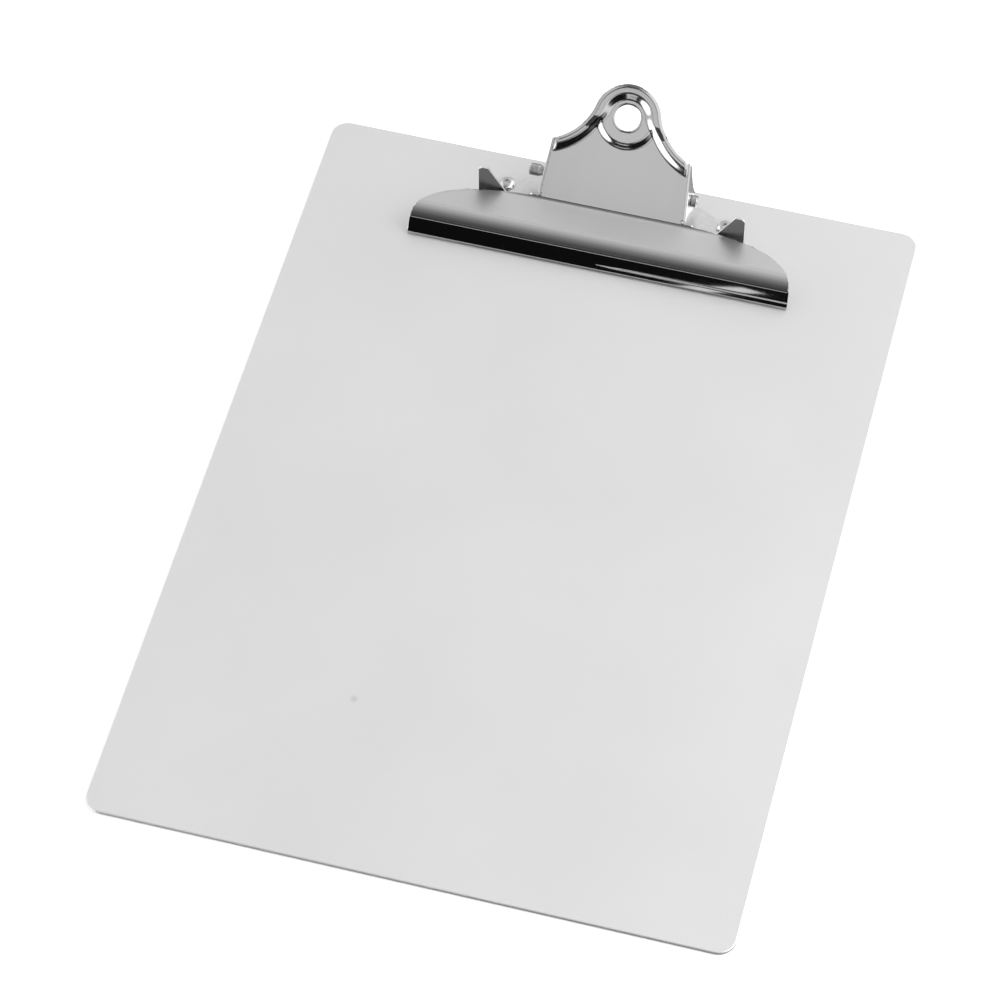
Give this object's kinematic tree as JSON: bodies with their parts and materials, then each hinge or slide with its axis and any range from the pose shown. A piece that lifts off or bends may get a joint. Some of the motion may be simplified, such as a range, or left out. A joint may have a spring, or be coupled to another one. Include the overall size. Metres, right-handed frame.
{
  "type": "clipboard",
  "caption": "Letter-size sheet-metal clipboard: flat round-cornered board with a wide sprung lever clip, paper stops and a hanging hole in the lever.",
  "frame": {"origin": "centre of the board's flat back face", "axes": "+X to the right across the board, +Y up the board towards the clip and its hanging hole, +Z out of the writing face"},
  "size_m": [0.2286, 0.3283, 0.0443],
  "materials": {
    "board": "satin, faintly mottled rolled sheet",
    "plate": "nickel-plated, semi-bright",
    "lever": "polished chrome plate",
    "pin": "bright zinc plate",
    "rivets": "bright nickel plate",
    "spring": "oiled spring wire"
  },
  "bodies": {
    "board_body": {"board": "board", "base_plate": "plate", "rivet_left": "rivets", "rivet_right": "rivets", "hinge_pin": "pin", "torsion_spring": "spring"},
    "lever_body": {"clamp_lever": "lever"}
  },
  "joints": [
    {"name": "lever_hinge", "type": "hinge", "parent": "board_body", "child": "lever_body", "pos_m": [0, 0.14625, 0.01135], "axis": [-1, 0, 0], "range_deg": [0, 28], "stiffness_Nm_per_rad": 1.2, "springref_deg": -20.05, "deforming": ["torsion_spring"]}
  ]
}
